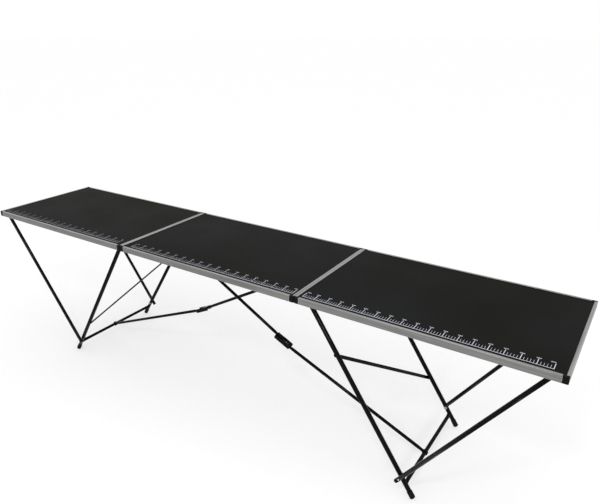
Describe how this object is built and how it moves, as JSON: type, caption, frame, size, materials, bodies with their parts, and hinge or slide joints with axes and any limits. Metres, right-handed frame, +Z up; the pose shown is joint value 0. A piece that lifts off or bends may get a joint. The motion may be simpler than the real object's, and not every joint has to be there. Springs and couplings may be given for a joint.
{
  "type": "wallpaper pasting table",
  "caption": "Long folding pasting table: dark boards in aluminium edge rails, hinged end to end, on splayed tubular steel legs with hooked struts and jointed long braces.",
  "frame": {"origin": "on the floor under the middle of the tabletop", "axes": "+X along the table, +Y away from the user, +Z up"},
  "size_m": [2.9184, 0.584, 0.749],
  "materials": {
    "board": "charcoal satin-coated fibreboard",
    "aluminium": "mill-finish extrusion",
    "corner_plastic": "black moulded",
    "foot_rubber": "black",
    "black_steel": "black gloss enamel",
    "zinc_steel": "zinc-plated"
  },
  "bodies": {
    "middle_panel": {"left_hinge_inner_leaf": "zinc_steel", "left_hinge_pin": "zinc_steel", "middle_board": "board", "middle_front_left_cap": "corner_plastic", "middle_front_rail": "aluminium", "middle_front_right_cap": "corner_plastic", "middle_left_brace_bar": "zinc_steel", "middle_left_end_rail": "aluminium", "middle_rear_left_cap": "corner_plastic", "middle_rear_rail": "aluminium", "middle_rear_right_cap": "corner_plastic", "middle_right_brace_bar": "zinc_steel", "middle_right_end_rail": "aluminium", "right_hinge_inner_leaf": "zinc_steel", "right_hinge_pin": "zinc_steel"},
    "right_panel": {"right_board": "board", "right_front_left_cap": "corner_plastic", "right_front_rail": "aluminium", "right_front_right_cap": "corner_plastic", "right_hinge_outer_leaf": "zinc_steel", "right_left_end_rail": "aluminium", "right_leg_axle": "zinc_steel", "right_rear_left_cap": "corner_plastic", "right_rear_rail": "aluminium", "right_rear_right_cap": "corner_plastic", "right_right_end_rail": "aluminium", "right_strut_axle": "zinc_steel"},
    "right_leg_frame": {"right_front_leg": "black_steel", "right_rear_leg": "black_steel", "right_leg_crossbar": "black_steel", "right_leg_diagonal": "black_steel", "right_front_foot_cap": "foot_rubber", "right_rear_foot_cap": "foot_rubber"},
    "right_front_strut": {"right_front_strut": "black_steel"},
    "right_rear_strut": {"right_rear_strut": "black_steel"},
    "right_brace_upper": {"right_brace_upper": "black_steel"},
    "right_brace_lower": {"right_brace_lower": "black_steel"},
    "left_panel": {"left_board": "board", "left_front_left_cap": "corner_plastic", "left_front_rail": "aluminium", "left_front_right_cap": "corner_plastic", "left_hinge_outer_leaf": "zinc_steel", "left_left_end_rail": "aluminium", "left_leg_axle": "zinc_steel", "left_rear_left_cap": "corner_plastic", "left_rear_rail": "aluminium", "left_rear_right_cap": "corner_plastic", "left_right_end_rail": "aluminium", "left_strut_axle": "zinc_steel"},
    "left_leg_frame": {"left_front_leg": "black_steel", "left_rear_leg": "black_steel", "left_leg_crossbar": "black_steel", "left_leg_diagonal": "black_steel", "left_front_foot_cap": "foot_rubber", "left_rear_foot_cap": "foot_rubber"},
    "left_front_strut": {"left_front_strut": "black_steel"},
    "left_rear_strut": {"left_rear_strut": "black_steel"},
    "left_brace_upper": {"left_brace_upper": "black_steel"},
    "left_brace_lower": {"left_brace_lower": "black_steel"}
  },
  "joints": [
    {"name": "right_panel_hinge", "type": "hinge", "parent": "middle_panel", "child": "right_panel", "pos_m": [0.4865, 0, 0.7192], "axis": [0, 1, 0], "range_deg": [0, 90]},
    {"name": "right_leg_pivot", "type": "hinge", "parent": "right_panel", "child": "right_leg_frame", "pos_m": [0.5255, 0, 0.733], "axis": [0, 1, 0], "range_deg": [-56, 0]},
    {"name": "right_front_strut_pivot", "type": "hinge", "parent": "right_panel", "child": "right_front_strut", "pos_m": [1.4155, -0.2712, 0.733], "axis": [0, 1, 0], "range_deg": [0, 55]},
    {"name": "right_rear_strut_pivot", "type": "hinge", "parent": "right_panel", "child": "right_rear_strut", "pos_m": [1.4155, 0.2712, 0.733], "axis": [0, 1, 0], "range_deg": [0, 55]},
    {"name": "right_brace_upper_pivot", "type": "hinge", "parent": "middle_panel", "child": "right_brace_upper", "pos_m": [-0.4085, 0, 0.7325], "axis": [0, 1, 0], "range_deg": [-22, 0]},
    {"name": "right_brace_lower_pivot", "type": "hinge", "parent": "right_leg_frame", "child": "right_brace_lower", "pos_m": [0.97259, 0, 0.05851], "axis": [0, 1, 0], "range_deg": [0, 23]},
    {"name": "left_panel_hinge", "type": "hinge", "parent": "middle_panel", "child": "left_panel", "pos_m": [-0.4865, 0, 0.7192], "axis": [0, -1, 0], "range_deg": [0, 90]},
    {"name": "left_leg_pivot", "type": "hinge", "parent": "left_panel", "child": "left_leg_frame", "pos_m": [-0.5255, 0, 0.733], "axis": [0, -1, 0], "range_deg": [-56, 0]},
    {"name": "left_front_strut_pivot", "type": "hinge", "parent": "left_panel", "child": "left_front_strut", "pos_m": [-1.4155, -0.2712, 0.733], "axis": [0, -1, 0], "range_deg": [0, 55]},
    {"name": "left_rear_strut_pivot", "type": "hinge", "parent": "left_panel", "child": "left_rear_strut", "pos_m": [-1.4155, 0.2712, 0.733], "axis": [0, -1, 0], "range_deg": [0, 55]},
    {"name": "left_brace_upper_pivot", "type": "hinge", "parent": "middle_panel", "child": "left_brace_upper", "pos_m": [0.4085, 0, 0.7325], "axis": [0, -1, 0], "range_deg": [-22, 0]},
    {"name": "left_brace_lower_pivot", "type": "hinge", "parent": "left_leg_frame", "child": "left_brace_lower", "pos_m": [-0.97259, 0, 0.05851], "axis": [0, -1, 0], "range_deg": [0, 23]}
  ],
  "couplings": [
    {"joint": "right_leg_pivot", "follows": "right_panel_hinge", "ratio": -0.61666},
    {"joint": "right_front_strut_pivot", "follows": "right_panel_hinge", "ratio": 0.60428},
    {"joint": "right_rear_strut_pivot", "follows": "right_panel_hinge", "ratio": 0.60428},
    {"joint": "right_brace_upper_pivot", "follows": "right_panel_hinge", "ratio": -0.24346},
    {"joint": "right_brace_lower_pivot", "follows": "right_panel_hinge", "ratio": 0.25429},
    {"joint": "left_leg_pivot", "follows": "left_panel_hinge", "ratio": -0.61666},
    {"joint": "left_front_strut_pivot", "follows": "left_panel_hinge", "ratio": 0.60428},
    {"joint": "left_rear_strut_pivot", "follows": "left_panel_hinge", "ratio": 0.60428},
    {"joint": "left_brace_upper_pivot", "follows": "left_panel_hinge", "ratio": -0.24346},
    {"joint": "left_brace_lower_pivot", "follows": "left_panel_hinge", "ratio": 0.25429}
  ]
}
